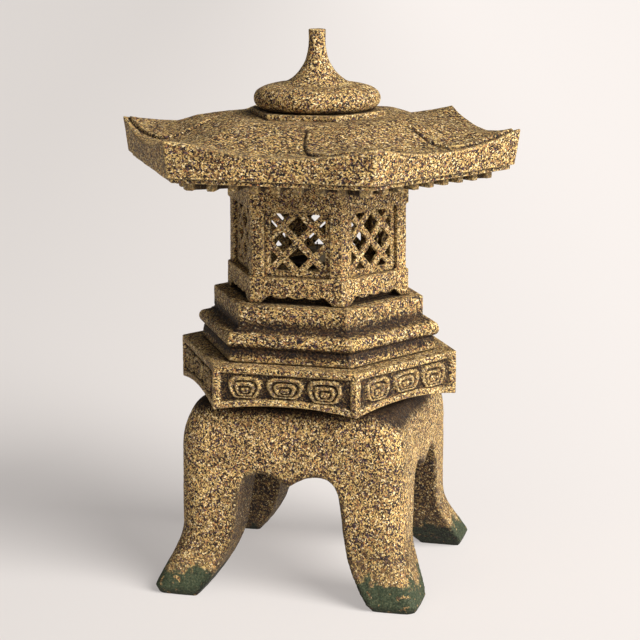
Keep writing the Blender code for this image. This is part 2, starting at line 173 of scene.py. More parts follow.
def turned(name, profile, segments, shade_and_grime=None):
    shade = None if shade_and_grime is None else np.repeat(np.asarray(shade_and_grime)[:, None], segments, axis=1)
    return mesh_object(name, *loft([circle(r, z, segments) for r, z in profile], shade))


def arc(centre, radius, start, end, steps):
    """Points of an arc in a profile, angles in degrees."""
    angles = np.radians(np.linspace(start, end, steps + 1))
    return [(centre[0] + radius * math.cos(a), centre[1] + radius * math.sin(a)) for a in angles]


def bezier(start, handle_a, handle_b, end, steps):
    """Points of a cubic curve without its first point."""
    t = np.arange(1, steps + 1)[:, None] / steps
    curve = ((1 - t) ** 3 * start + 3 * t * (1 - t) ** 2 * handle_a
             + 3 * t * t * (1 - t) * handle_b + t ** 3 * end)
    return [tuple(p) for p in curve]


def refine(profile, spacing):
    """The profile with extra points, so that no step is longer than spacing."""
    points = [profile[0]]
    for (r0, z0), (r1, z1) in zip(profile, profile[1:]):
        steps = max(1, math.ceil(math.hypot(r1 - r0, z1 - z0) / spacing))
        points += [(r0 + (r1 - r0) * k / steps, z0 + (z1 - z0) * k / steps) for k in range(1, steps + 1)]
    return points


def prism_on_face(outline, near, far, side):
    """A prism through one hexagon face: outline is (across, z), near and far are apothems."""
    angle = math.radians(60 * side + 30)
    out = np.array([math.cos(angle), math.sin(angle), 0.0])
    along = np.array([-math.sin(angle), math.cos(angle), 0.0])
    rings = []
    for apothem in (near, far):
        rings.append([out * apothem + along * across + np.array([0, 0, z]) for across, z in outline])
    return np.array(rings)


def plain_solid(rings):
    """Vertices and faces of a coarse solid whose two ends are single faces."""
    rings = np.asarray(rings, float)
    levels, count, _ = rings.shape
    faces = [tuple(reversed(range(count)))]
    for low in range(0, (levels - 1) * count, count):
        faces += [(low + k, low + (k + 1) % count, low + count + (k + 1) % count, low + count + k)
                  for k in range(count)]
    faces.append(tuple(range((levels - 1) * count, levels * count)))
    return rings.reshape(-1, 3), faces


def gather(name, solids, shade_and_grime=None):
    """One object from several solids."""
    vertices, faces, start = [], [], 0
    for solid_vertices, solid_faces in solids:
        vertices.append(solid_vertices)
        faces += [tuple(start + index for index in face) for face in solid_faces]
        start += len(solid_vertices)
    return mesh_object(name, np.vstack(vertices), faces, shade_and_grime)


def carve(target, tool):
    """Cuts target with the tool object and removes the tool."""
    cut = target.modifiers.new("cut", "BOOLEAN")
    cut.operation = "DIFFERENCE"
    cut.solver = "EXACT"
    cut.object = tool
    apply_modifiers(target)
    bpy.data.objects.remove(tool, do_unlink=True)


def apply_modifiers(target):
    """Bakes the modifiers of target into its mesh."""
    graph = bpy.context.evaluated_depsgraph_get()
    mesh = bpy.data.meshes.new_from_object(target.evaluated_get(graph))
    target.modifiers.clear()
    target.data = mesh


def soften(target, voxel, rounds):
    """Rebuilds the surface from even small faces and rounds its edges, as a worked stone has them."""
    remesh = target.modifiers.new("even", "REMESH")
    remesh.mode = "VOXEL"
    remesh.voxel_size = voxel * MM
    remesh.use_smooth_shade = True
    smooth = target.modifiers.new("round", "SMOOTH")
    smooth.factor = 0.5
    smooth.iterations = rounds
    apply_modifiers(target)
    target.data.shade_smooth()


def weather(target, layers, seed):
    """Moves the surface in and out by small smooth noise, and never below the ground: layers are
    (feature size, depth) in mm."""
    mesh = target.data
    count = len(mesh.vertices)
    places, normals = np.zeros(count * 3), np.zeros(count * 3)
    mesh.vertices.foreach_get("co", places)
    mesh.vertex_normals.foreach_get("vector", normals)
    places, normals = places.reshape(-1, 3) * 1000, normals.reshape(-1, 3)
    shift = np.zeros(count)
    for number, (size, depth) in enumerate(layers):
        shift += depth * value_noise(places, size, seed + 17 * number)
    places += normals * shift[:, None]
    places[:, 2] = np.maximum(places[:, 2], 0.0)
    mesh.vertices.foreach_set("co", (places * MM).reshape(-1))
    mesh.update()


def paint(target, attribute, rule):
    """Writes a value on each vertex: rule takes the places in millimetres."""
    mesh = target.data
    places = np.zeros(len(mesh.vertices) * 3)
    mesh.vertices.foreach_get("co", places)
    values = np.asarray(rule(places.reshape(-1, 3) * 1000), np.float32)
    mesh.attributes.new(attribute, "FLOAT", "POINT").data.foreach_set("value", values)


# Layers of weathering, from the roughest stone to the finest.
BASE_SKIN = [(60.0, 0.8), (18.0, 0.35), (5.5, 0.22)]
STONE_SKIN = [(38.0, 0.35), (11.0, 0.2), (3.4, 0.16)]
FINE_SKIN = [(24.0, 0.2), (7.0, 0.12), (2.6, 0.1)]
BLOCK_SKIN = [(14.0, 0.25)]
WAX_SKIN = [(6.0, 0.25), (2.5, 0.08)]


def settle(piece, node, body, material):
    """Gives a finished piece its material and puts it in the place of its CAD node."""
    piece.data.materials.clear()
    piece.data.materials.append(material)
    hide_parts(node)
    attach(piece, body)


# ---- Materials ----
class Graph:
    """A short way to write a node tree."""

    def __init__(self, name):
        self.material = bpy.data.materials.new(name)
        self.material.use_nodes = True
        self.tree = self.material.node_tree
        self.shader = self.tree.nodes["Principled BSDF"]

    def node(self, kind, inputs=None, **settings):
        made = self.tree.nodes.new(kind)
        for key, value in settings.items():
            setattr(made, key, value)
        for key, value in (inputs or {}).items():
            self.put(made.inputs[key], value)
        return made

    def put(self, socket, value):
        if isinstance(value, bpy.types.NodeSocket):
            self.tree.links.new(value, socket)
        else:
            socket.default_value = value

    def math(self, operation, a, b=0.0, c=0.0):
        return self.node("ShaderNodeMath", {0: a, 1: b, 2: c}, operation=operation).outputs[0]

    def clamp_range(self, value, low, high, to_low=0.0, to_high=1.0):
        return self.node("ShaderNodeMapRange", {"Value": value, "From Min": low, "From Max": high,
                                                "To Min": to_low, "To Max": to_high},
                         interpolation_type="SMOOTHSTEP").outputs[0]

    def mix(self, factor, a, b, blend="MIX"):
        made = self.node("ShaderNodeMix", data_type="RGBA", blend_type=blend)
        self.put(made.inputs[0], factor)
        self.put(made.inputs[6], a)
        self.put(made.inputs[7], b)
        return made.outputs[2]

    def ramp(self, value, stops, interpolation="LINEAR"):
        made = self.node("ShaderNodeValToRGB", {"Fac": value})
        ramp = made.color_ramp
        ramp.interpolation = interpolation
        while len(ramp.elements) < len(stops):
            ramp.elements.new(1.0)
        for element, (place, colour) in zip(ramp.elements, stops):
            element.position = place
            element.color = (*colour, 1.0)
        return made.outputs[0]


# Grain colours of the stone, from black mica to cream feldspar, and where each begins on a 0 to 1 scale.
GRAINS = [
    (0.00, (0.008, 0.005, 0.006)),
    (0.17, (0.052, 0.021, 0.012)),
    (0.27, (0.110, 0.064, 0.080)),
    (0.35, (0.205, 0.108, 0.040)),
    (0.48, (0.420, 0.262, 0.102)),
    (0.64, (0.680, 0.478, 0.180)),
    (0.885, (0.480, 0.215, 0.075)),
    (0.92, (0.900, 0.735, 0.425)),
]
GRAIN_CELLS, FLECK_CELLS = 620.0, 930.0     # cells per metre
EDGE_WANDER = 0.0024                        # metres by which the cells' edges wander
BLACK_MICA = (0.012, 0.008, 0.008, 1.0)
WORN_EDGE = (0.52, 0.38, 0.17, 1.0)
RUST_STAIN = (0.26, 0.165, 0.070, 1.0)
SHADE_AND_GRIME = (0.115, 0.092, 0.088, 1.0)          # multiplies the stone's colour where painted shade and grime lie


def granite(name, stretch=(1.0, 1.0, 1.0), moss_top=None):
    """Speckled yellow-beige granite. stretch draws the grains out, and moss_top is the height in metres
    that the moss reaches."""
    g = Graph(name)
    place = g.node("ShaderNodeTexCoord").outputs["Object"]
    drawn = g.node("ShaderNodeMapping", {"Vector": place, "Scale": stretch}).outputs[0]
    wander = g.node("ShaderNodeTexNoise", {"Vector": drawn, "Scale": 420.0, "Detail": 2.0}).outputs["Color"]
    offset = g.node("ShaderNodeVectorMath", {0: wander, 1: (0.5, 0.5, 0.5)}, operation="SUBTRACT").outputs[0]
    warped = g.node("ShaderNodeVectorMath", {0: offset, 1: (EDGE_WANDER,) * 3, 2: drawn},
                    operation="MULTIPLY_ADD").outputs[0]

    def cells(scale):
        made = g.node("ShaderNodeTexVoronoi", {"Vector": warped, "Scale": scale})
        split = g.node("ShaderNodeSeparateColor", {0: made.outputs["Color"]})
        return split.outputs, made.outputs["Distance"]

    grain, grain_distance = cells(GRAIN_CELLS)
    fleck, _ = cells(FLECK_CELLS)
    colour = g.ramp(grain[0], GRAINS, "CONSTANT")
    mottle = g.ramp(fleck[1], [(0.0, (0.62, 0.60, 0.62)), (0.5, (1.0, 1.0, 1.0)), (1.0, (1.32, 1.30, 1.22))])
    colour = g.mix(1.0, colour, mottle, "MULTIPLY")
    pepper = g.clamp_range(fleck[0], 0.200, 0.190)
    colour = g.mix(g.math("MULTIPLY", pepper, 0.9), colour, BLACK_MICA)

    clouds = g.node("ShaderNodeTexNoise", {"Vector": place, "Scale": 22.0, "Detail": 4.0}).outputs["Fac"]
    tone = g.ramp(clouds, [(0.28, (0.74, 0.73, 0.70)), (0.52, (0.98, 0.98, 0.97)),
                           (0.75, (1.16, 1.13, 1.06))])
    colour = g.mix(1.0, colour, tone, "MULTIPLY")

    geometry = g.node("ShaderNodeNewGeometry")
    worn = g.clamp_range(geometry.outputs["Pointiness"], 0.505, 0.56)
    colour = g.mix(g.math("MULTIPLY", worn, 0.30), colour, WORN_EDGE)

    blotch_noise = g.node("ShaderNodeTexNoise", {"Vector": place, "Scale": 120.0, "Detail": 4.0}).outputs["Fac"]
    if moss_top:
        height = g.node("ShaderNodeSeparateXYZ", {0: place}).outputs[2]
        patches = g.node("ShaderNodeTexNoise", {"Vector": place, "Scale": 46.0, "Detail": 6.0,
                                                "Roughness": 0.66}).outputs["Fac"]
        ragged = g.math("MULTIPLY_ADD", g.math("SUBTRACT", patches, 0.5), 0.085, height)
        bare = g.node("ShaderNodeAttribute", attribute_name="bare").outputs["Fac"]
        ragged = g.math("MULTIPLY_ADD", bare, 0.03, ragged)
        green = g.clamp_range(ragged, moss_top * 1.08, moss_top * 0.78)
        worn_through = g.clamp_range(blotch_noise, 0.66, 0.60)
        tuft = g.node("ShaderNodeTexNoise", {"Vector": place, "Scale": 420.0, "Detail": 3.0}).outputs["Fac"]
        moss = g.ramp(tuft, [(0.32, (0.012, 0.020, 0.010)), (0.50, (0.028, 0.046, 0.023)),
                             (0.68, (0.075, 0.090, 0.050))])
        rust = g.clamp_range(ragged, moss_top * 1.9, moss_top * 1.0)
        colour = g.mix(g.math("MULTIPLY", rust, 0.30), colour, RUST_STAIN)
        colour = g.mix(g.math("MULTIPLY", green, g.math("MULTIPLY", worn_through, 0.96)), colour, moss)

    # Painted shade: the colour darkens where ambient occlusion finds crevices and hollows.
    shade = g.node("ShaderNodeAmbientOcclusion", {"Distance": 0.016}, samples=6).outputs["AO"]
    crevice_shade = g.clamp_range(shade, 0.72, 0.25, 0.0, 0.8)
    # Painted shade in hollows and under overhangs, with some real grime, comes in per vertex; noise and the
    # grains break it up, and it darkens the colour towards a near-black brown.
    painted = g.node("ShaderNodeAttribute", attribute_name="shade_and_grime").outputs["Fac"]
    ragged_shade_and_grime = g.math("MULTIPLY_ADD", g.math("SUBTRACT", blotch_noise, 0.5), 0.55, painted)
    ragged_shade_and_grime = g.math("MULTIPLY_ADD", g.math("SUBTRACT", grain[2], 0.5), 0.45, ragged_shade_and_grime)
    shade_and_grime_mask = g.clamp_range(ragged_shade_and_grime, 0.16, 0.95)
    shade_and_grime = g.math("MAXIMUM", crevice_shade, shade_and_grime_mask)
    colour = g.mix(shade_and_grime, colour, g.mix(1.0, colour, SHADE_AND_GRIME, "MULTIPLY"))
    g.put(g.shader.inputs["Base Color"], colour)

    gloss = g.ramp(grain[0], [(0.0, (0.50, 0.50, 0.50)), (0.2, (0.76, 0.76, 0.76)),
                              (1.0, (0.86, 0.86, 0.86))])
    g.put(g.shader.inputs["Roughness"], gloss)
    g.shader.inputs["Specular IOR Level"].default_value = 0.3

    pits = g.node("ShaderNodeTexNoise", {"Vector": drawn, "Scale": 700.0, "Detail": 4.0}).outputs["Fac"]
    relief = g.math("MULTIPLY_ADD", grain_distance, -0.6, pits)
    bump = g.node("ShaderNodeBump", {"Height": relief, "Strength": 0.5, "Distance": 0.0008})
    g.put(g.shader.inputs["Normal"], bump.outputs[0])
    return g.material


def iron():
    g = Graph("black_iron")
    place = g.node("ShaderNodeTexCoord").outputs["Object"]
    rust = g.node("ShaderNodeTexNoise", {"Vector": place, "Scale": 160.0, "Detail": 5.0}).outputs["Fac"]
    colour = g.ramp(rust, [(0.40, (0.020, 0.018, 0.017)), (0.58, (0.045, 0.036, 0.030)),
                           (0.72, (0.120, 0.050, 0.025))])
    g.put(g.shader.inputs["Base Color"], colour)
    g.put(g.shader.inputs["Roughness"], g.clamp_range(rust, 0.3, 0.7, 0.45, 0.9))
    g.shader.inputs["Metallic"].default_value = 0.7
    bump = g.node("ShaderNodeBump", {"Height": rust, "Strength": 0.5, "Distance": 0.0006})
    g.put(g.shader.inputs["Normal"], bump.outputs[0])
    return g.material


def wax():
    g = Graph("wax")
    place = g.node("ShaderNodeTexCoord").outputs["Object"]
    drip = g.node("ShaderNodeTexNoise", {"Vector": place, "Scale": 90.0, "Detail": 3.0}).outputs["Fac"]
    colour = g.ramp(drip, [(0.35, (0.10, 0.075, 0.045)), (0.65, (0.24, 0.185, 0.11))])
    g.put(g.shader.inputs["Base Color"], colour)
    g.put(g.shader.inputs["Roughness"], g.clamp_range(drip, 0.3, 0.7, 0.38, 0.55))
    g.shader.inputs["Subsurface Weight"].default_value = 0.25
    g.shader.inputs["Subsurface Radius"].default_value = (0.006, 0.004, 0.002)
    bump = g.node("ShaderNodeBump", {"Height": drip, "Strength": 0.3, "Distance": 0.0008})
    g.put(g.shader.inputs["Normal"], bump.outputs[0])
    return g.material


def burnt_cotton():
    g = Graph("burnt_cotton")
    place = g.node("ShaderNodeTexCoord").outputs["Object"]
    strands = g.node("ShaderNodeTexWave", {"Vector": place, "Scale": 900.0, "Distortion": 2.0}).outputs["Fac"]
    g.put(g.shader.inputs["Base Color"], g.ramp(strands, [(0.2, (0.012, 0.010, 0.009)),
                                                          (0.8, (0.060, 0.048, 0.040))]))
    g.shader.inputs["Roughness"].default_value = 0.95
    return g.material


# ---- Base stone ----
BASE_HALF, BASE_CORNER = 140.5, 31.0
# Heights on the shoulder, and how far the side has drawn in there.
SHOULDER = [(180.0, 0.0), (192.0, 0.8), (202.0, 2.5), (212.0, 5.6), (222.0, 9.8), (229.0, 13.8),
            (233.2, 17.4), (BASE_TOP, 21.5)]
TOE_REACH, TOE_EDGE_Z, TOE_CHAMFER, TOE_CORNER = 25.0, 9.0, 5.0, 11.0
FLARE_RINGS = (TOE_EDGE_Z, 14, 20, 26, 32, 39, 46, 53, 60, 70)
FLARE_START_Z = 80.0            # the legs start to flare below this height
SOLE_Z = -2.5                   # the legs start below the ground, where weather() flattens them
ARCH_SPRING = (63.0, 128.0)     # across and height, as for the lobe's highest point
LOBE_TOP = (36.0, 154.5)
CUSP_Z = 140.0
LEG_DRAFT, LEG_INNER_FLARE = 0.129, 31.0
SIDE_ARCH_WIDER = 3.0           # the left and right arches are this much wider at the ground
ARCH_CROWN = ((0.0, 12.0, 36.0, 55.0, 63.0), (141.0, 148.5, 154.5, 146.0, 128.0))   # across, height


def rounded_square(half, radius, z, steps=8):
    points = []
    for corner in range(4):
        centre_x = (half - radius) * (1 if corner in (0, 3) else -1)
        centre_y = (half - radius) * (1 if corner in (0, 1) else -1)
        for angle in np.radians(90 * corner + np.linspace(0, 90, steps + 1)):
            points.append((centre_x + radius * math.cos(angle), centre_y + radius * math.sin(angle), z))
    return points


def toe_flare(z):
    s = max(0.0, (FLARE_START_Z - z) / (FLARE_START_Z - TOE_EDGE_Z))
    return TOE_REACH * s * s * (1.9 - 0.9 * s)


def arch_half_width(z):
    s = max(0.0, (FLARE_START_Z - z) / FLARE_START_Z)
    return ARCH_SPRING[0] + LEG_DRAFT * (ARCH_SPRING[1] - z) + LEG_INNER_FLARE * s * s


def arch_outline():
    """Two-lobed arch with a hanging cusp, in (across, z)."""
    spring, lobe = np.array(ARCH_SPRING), np.array(LOBE_TOP)
    right = [(arch_half_width(0.0), -10.0)]
    right += [(arch_half_width(z), z) for z in np.linspace(0.0, ARCH_SPRING[1], 18)]
    right += bezier(spring, np.array((60.0, 146.0)), np.array((52.0, LOBE_TOP[1])), lobe, 9)
    right += bezier(lobe, np.array((22.0, LOBE_TOP[1])), np.array((12.0, 148.0)), np.array((0.0, CUSP_Z)), 8)
    return right + [(-across, z) for across, z in reversed(right[:-1])]


def base_darkening(places):
    """Painted shadow under the slab, painted shade on the inner faces of the legs and in a band along the
    arches, and a darkening towards the ground.
    """
    z = places[:, 2]
    legs = ARCH_SPRING[0] + LEG_DRAFT * np.clip(ARCH_SPRING[1] - z, 0, None)
    legs = legs + LEG_INNER_FLARE * np.clip(1 - z / FLARE_START_Z, 0, 1) ** 2
    gaps = []
    for across in (np.abs(places[:, 0]), np.abs(places[:, 1])):
        gaps.append(np.maximum(across - legs, z - np.interp(across, *ARCH_CROWN)))
    edge = np.minimum(*gaps)
    # Painted shadow cast by the slab's overhang onto the top of the base; it reaches lower on the right-hand
    # face than on the front.
    right_side = smoothstep((places[:, 0] - np.abs(places[:, 1]) + 25.0) / 50.0)
    under_slab = smoothstep((z - 212.0 + 11.0 * right_side) / 26.0)
    # Darker towards the ground, less so low down where the moss grows.
    low = 0.5 * smoothstep((135.0 - z) / 90.0) * (1 - 0.55 * smoothstep((60.0 - z) / 30.0))
    # Painted shade in a band along the arch edges and on the legs' inner faces.
    arches = 0.72 * (1 - smoothstep((edge - 1.0) / 13.0))
    return np.maximum(np.maximum(arches, low), 1.15 * under_slab)


def base_stone(material):
    rings = [rounded_square(BASE_HALF + TOE_REACH - TOE_CHAMFER, TOE_CORNER, SOLE_Z)]
    for z in (*FLARE_RINGS, FLARE_START_Z):
        fade = min(1.0, (z - TOE_EDGE_Z) / (FLARE_START_Z - TOE_EDGE_Z))
        radius = TOE_CORNER + (BASE_CORNER - TOE_CORNER) * fade
        rings.append(rounded_square(BASE_HALF + toe_flare(z), radius, z))
    for z, inset in SHOULDER:
        rings.append(rounded_square(BASE_HALF - inset, BASE_CORNER - inset * 0.5, z))
    stone = gather("base_carved", [plain_solid(rings)])
    reach = BASE_HALF + TOE_REACH + 20
    outline = arch_outline()
    front_back = plain_solid([[(x, side * reach, z) for x, z in outline] for side in (1, -1)])
    wide = [(x + math.copysign(SIDE_ARCH_WIDER * max(0.0, 1 - z / ARCH_SPRING[1]), x), z)
            for x, z in outline]
    left_right = plain_solid([[(side * reach, x, z) for x, z in wide] for side in (-1, 1)])
    carve(stone, gather("tunnel_front_back", [front_back]))
    carve(stone, gather("tunnel_left_right", [left_right]))
    soften(stone, 2.2, 7)
    weather(stone, BASE_SKIN, 3)
    paint(stone, "shade_and_grime", base_darkening)
    paint(stone, "bare", lambda places: (places[:, 0] < 0) & (places[:, 1] > 0))
    settle(stone, "base_stone", "stonework", material)


# ---- Panel slab ----
PANEL_TOP_BAR, PANEL_SIDE_BAR, PANEL_BOTTOM_BAR, PANEL_DEPTH = 8.0, 7.6, 7.5, 4.2
SLAB_BED_R, SLAB_EDGE_ROUND = 142.0, 1.6
HALF_MOONS = [(-50.0, 42.0, 27.5), (0.0, 47.0, 25.0), (49.0, 44.0, 28.5)]   # place, width, height
MOON_FOCUS = 0.30               # the nested rings gather this share of the height above the foot


def moon_outline(width, height):
    """Radius of the half-moon outline around its focus as arrays (angle, radius)."""
    foot, top, shoulder = -height / 2, height / 2, height * 0.12
    start = np.array((0.0, foot))
    edge = np.array((width * 0.27, foot))
    side = np.array((width / 2, shoulder))
    points = [tuple(start + (edge - start) * k / 6) for k in range(6)] + [tuple(edge)]
    points += bezier(edge, np.array((width * 0.36, foot)), np.array((width / 2, -height * 0.12)), side, 12)
    points += bezier(side, np.array((width / 2, top)), np.array((width * 0.3, top)), np.array((0.0, top)), 14)
    focus = foot + height * MOON_FOCUS
    half = [(math.atan2(z - focus, x), math.hypot(x, z - focus)) for x, z in points]
    angles = np.array([a for a, _ in half])
    radii = np.array([r for _, r in half])
    return angles, radii, focus


def moon_relief(across, z, width, height):
    """Height of the nested half-moon carving above the sunk ground."""
    angles, radii, focus = moon_outline(width, height)
    angle = np.arctan2(z - focus, np.abs(across))
    f = np.hypot(across, z - focus) / np.interp(angle, angles, radii)

    def ridge(centre, half, tall):
        return tall * smoothstep(1.7 * (1 - np.abs(f - centre) / half))

    relief = ridge(0.85, 0.17, 3.9)
    relief = np.maximum(relief, ridge(0.49, 0.155, 3.5))
    relief = np.maximum(relief, 3.0 * smoothstep((0.30 - f) / 0.10))
    return relief, f


def panel_slab(material):
    columns, rows = 118, 52
    half_face = SLAB_R / 2

    def arched(t):
        return SLAB_BOTTOM + SLAB_ARC * (1 - t * t)

    plan, side, t = hexagon_points(SLAB_R, columns)
    across = t * half_face
    middle = (arched(0) + PANEL_BOTTOM_BAR + SLAB_TOP - PANEL_TOP_BAR) / 2
    normal_angle = np.radians(60 * side + 30)
    inward = -np.stack([np.cos(normal_angle), np.sin(normal_angle)], axis=1)

    rings, shade_and_grime, add = stack_on(plan)
    for radius in (60.0, 110.0, SLAB_BED_R):
        add(radius / SLAB_R, SLAB_BOTTOM)
    for share in (0.35, 0.7):
        radius = SLAB_BED_R + (SLAB_R - SLAB_BED_R) * share
        # Painted shade on the slab's underside beyond its bed.
        add(radius / SLAB_R, SLAB_BOTTOM + (arched(t) - SLAB_BOTTOM) * share, 0.6)
    for angle in np.radians((90, 60, 30, 0)):
        inset = SLAB_EDGE_ROUND * (1 - math.cos(angle))
        add((SLAB_R - inset) / SLAB_R, arched(t) + SLAB_EDGE_ROUND * (1 - math.sin(angle)))
    low, high = arched(t) + SLAB_EDGE_ROUND, SLAB_TOP - SLAB_EDGE_ROUND
    half_panel = half_face - PANEL_SIDE_BAR
    for row in range(1, rows):
        z = low + (high - low) * row / rows
        inside = np.minimum(SLAB_TOP - PANEL_TOP_BAR - z, z - arched(t) - PANEL_BOTTOM_BAR)
        inside = np.minimum(inside, half_panel - np.abs(across))
        sunk = smoothstep((inside + 0.8) / 2.0)
        depth = PANEL_DEPTH * sunk
        for place, width, height in HALF_MOONS:
            lowered = abs(place) / 50.0 * 1.5
            relief, f = moon_relief(across - place, z - (middle - lowered), width, height)
            depth = np.where(f < 1.1, np.maximum(depth - relief, 0.2), depth)
        # Painted shade in the sunk panel, darkest where the carving is deepest.
        shade_and_soil = sunk * np.maximum(0.88 * smoothstep((depth - 1.0) / 2.2), 0.22)
        add(1.0, z, shade_and_soil, plan + inward * depth[:, None])
    for angle in np.radians((0, 30, 60, 90)):
        inset = SLAB_EDGE_ROUND * (1 - math.cos(angle))
        add((SLAB_R - inset) / SLAB_R, SLAB_TOP - SLAB_EDGE_ROUND * (1 - math.sin(angle)))
    for radius in np.linspace(SLAB_R - 6, 60, 16):
        # Painted shade on the top around the foot of the platform.
        add(radius / SLAB_R, SLAB_TOP, 0.0 if radius > 156 else 0.7)
    slab = mesh_object("slab_carved", *loft(rings, shade_and_grime))
    weather(slab, FINE_SKIN, 11)
    settle(slab, "panel_slab", "stonework", material)


# ---- Stepped platform ----
NECK_R, NECK_TOP, TORUS_R, TORUS_HALF = 150.6, 307.1, 146.5, 8.6
TORUS_Z = NECK_TOP + TORUS_HALF
TIER_R, TIER_ROUND = 134.5, 2.2


def platform_shade_and_grime(r, z):
    """Painted shade in the neck, under the torus, on the fillet above it, in the tier's foot and on the top
    under the skirt; a light even grime on the torus and the rest of the tier.
    """
    if z < NECK_TOP:
        return 0.25 + 0.85 * smoothstep((z - SLAB_TOP - 2.0) / (NECK_TOP - SLAB_TOP - 4.0))
    if z < TORUS_Z:
        return 1.0 - 0.7 * smoothstep((z - NECK_TOP) / (TORUS_Z - 2.0 - NECK_TOP))
    if z < TORUS_Z + 6.0:
        return 0.3
    if z < 331.0:
        return 0.3 + 0.65 * smoothstep((146.0 - r) / 8.0)
    if z < 348.0:
        return 0.95 - 0.75 * smoothstep((z - 331.0) / 15.0)
    return 0.9 if z > TIER_TOP - 0.5 and r < 113 else 0.2


def stepped_platform(material):
    foot, torus_top = SLAB_TOP + SEAT_GAP, TORUS_Z + TORUS_HALF
    profile = [(60.0, foot), (NECK_R - 1.4, foot), (NECK_R, SLAB_TOP + 1.6), (149.8, 298.0), (148.4, 304.5),
               (146.0, NECK_TOP - 0.6)]
    profile += arc((TORUS_R, TORUS_Z), TORUS_HALF, -88, 88, 22)
    profile += [(142.0, torus_top + 0.4), (139.6, torus_top + 1.4), (138.2, 327.6), (TIER_R + 0.6, 328.6),
                (TIER_R - 0.6, 330.0), (TIER_R, 332.0)]
    profile += arc((TIER_R - TIER_ROUND, TIER_TOP - TIER_ROUND), TIER_ROUND, 0, 88, 6)
    profile.append((60.0, TIER_TOP))
    profile = refine(profile, 2.2)
    columns = 66
    rings = [hexagon(r, z, columns) for r, z in profile]
    shade_and_grime = [np.full(6 * columns, float(platform_shade_and_grime(r, z))) for r, z in profile]
    platform = mesh_object("platform_carved", *loft(rings, shade_and_grime))
    weather(platform, STONE_SKIN, 23)
    settle(platform, "stepped_platform", "stonework", material)


# ---- Firebox ----
SKIRT_R, SKIRT_TOP, POST_R, POST_TOP, HEAD_R, CHAMBER_R = 116.2, 389.6, 112.5, 470.3, 115.4, 94.0
FLOOR_Z = SKIRT_TOP - 0.3       # the chamber's floor and the foot of the bays
BAY_WIDTH, BAY_BACK, LIP = 82.0, 86.6, 4.5
SCALLOP_FOOT, SCALLOP_SWEEP, SCALLOP_RISE, SCALLOP_DEPTH = 12.0, 15.5, 10.6, 14.0
LOBE_STEPS, LOBE_DEPTH = 12, 3.2
LATTICE_THICKNESS, LATTICE_CLEARANCE = 5.0, 0.15
BAR_SPACING, HOLE_HALF_DIAGONAL = 19.0, 13.2
WINDOW_HALF, WINDOW_RISE = 34.4, 2.0        # the window stands a little above the panel's middle


def scallop_outline(bed):
    """The cut under one face of the skirt: S curves beside the feet, three shallow lobes between."""
    foot = SKIRT_R / 2 - SCALLOP_FOOT
    crest = foot - SCALLOP_SWEEP
    top = bed + SCALLOP_RISE
    right = [(foot, bed - 5), (foot, bed)]
    right += bezier(np.array((foot, bed)), np.array((foot - 4, bed + 2.0)), np.array((crest + 6, top + 0.6)),
                    np.array((crest, top)), 10)
    for outer, inner in ((crest, crest / 3), (crest / 3, -crest / 3)):
        for s in (k / LOBE_STEPS for k in range(1, LOBE_STEPS + 1)):
            across = outer + (inner - outer) * s
            if across < -0.01:
                break
            right.append((across, top - 0.2 - LOBE_DEPTH * math.sin(math.pi * s) ** 0.7))
    return right + [(-across, z) for across, z in reversed(right) if across > 0.01]


def firebox_painted_shade(places):
    """Painted shade in the cuts under the skirt, behind its outer face."""
    apothem = np.zeros(len(places))
    for side in range(6):
        angle = math.radians(60 * side + 30)
        apothem = np.maximum(apothem, places[:, 0] * math.cos(angle) + places[:, 1] * math.sin(angle))
    low = smoothstep((TIER_TOP + 16.0 - places[:, 2]) / 3.0)
    return 1.1 * low * smoothstep((SKIRT_R * COS30 - 1.5 - apothem) / 3.0)


def firebox_frame(material):
    bed = TIER_TOP + SEAT_GAP
    profile = [(SKIRT_R, bed), (SKIRT_R, SKIRT_TOP - 0.6), (POST_R, FLOOR_Z), (POST_R, POST_TOP),
               (HEAD_R, POST_TOP + 0.3), (HEAD_R, FIREBOX_TOP)]
    frame_stone = gather("firebox_carved", [plain_solid([hexagon(r, z, 1) for r, z in profile])])
    half, inner = BAY_WIDTH / 2, BAY_WIDTH / 2 - LIP
    bay = [(half, FLOOR_Z), (half, POST_TOP), (-half, POST_TOP), (-half, FLOOR_Z)]
    window = [(inner, FLOOR_Z), (inner, POST_TOP - LIP), (-inner, POST_TOP - LIP), (-inner, FLOOR_Z)]
    apothem = SKIRT_R * COS30
    chamber = plain_solid([hexagon(CHAMBER_R, FLOOR_Z, 1), hexagon(CHAMBER_R, FIREBOX_TOP + 5, 1)])
    carve(frame_stone, gather("chamber", [chamber]))
    for outline, near, far in (
        (bay, BAY_BACK, HEAD_R),
        (window, CHAMBER_R * COS30 - 5, BAY_BACK + 2),
        (scallop_outline(bed), apothem - SCALLOP_DEPTH, apothem + 5),
    ):
        prisms = [plain_solid(prism_on_face(outline, near, far, side)) for side in range(6)]
        carve(frame_stone, gather("prisms", prisms))
    soften(frame_stone, 1.25, 1)
    weather(frame_stone, FINE_SKIN, 31)
    paint(frame_stone, "shade_and_grime", firebox_painted_shade)
    settle(frame_stone, "firebox_frame", "stonework", material)


